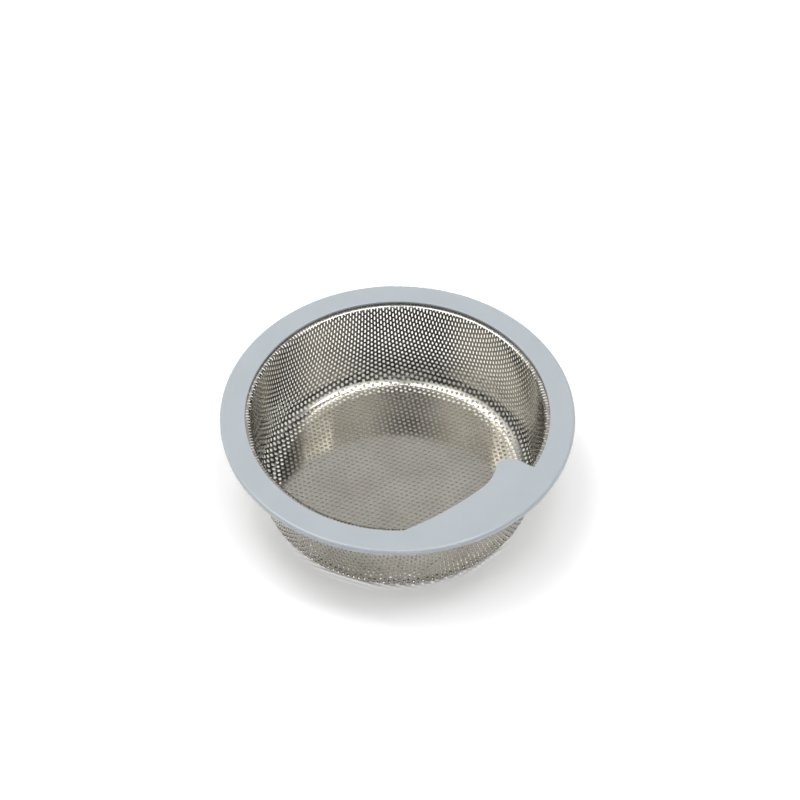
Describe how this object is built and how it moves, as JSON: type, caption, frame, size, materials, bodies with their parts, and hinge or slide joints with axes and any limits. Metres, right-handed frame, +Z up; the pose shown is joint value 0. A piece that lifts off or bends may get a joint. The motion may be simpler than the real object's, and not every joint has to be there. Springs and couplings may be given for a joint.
{
  "type": "sink basket strainer",
  "caption": "Shallow round sink drain basket: a deep-drawn cup of finely punched stainless sheet in a flat plastic rim with a finger tab.",
  "frame": {"origin": "on the axis, in the plane that the flat bottom rests on", "axes": "+Z up along the basket's axis, out of its mouth; -Y is the front, and the finger tab is at the front right, towards +X and -Y"},
  "size_m": [0.145, 0.145, 0.045],
  "materials": {
    "stainless_sheet": "punched stainless sheet, mill finish, slightly satin",
    "rim_plastic": "pale blue-grey moulded polypropylene, fine matt"
  },
  "bodies": {
    "root": {"basket": "stainless_sheet", "rim": "rim_plastic"}
  },
  "joints": []
}
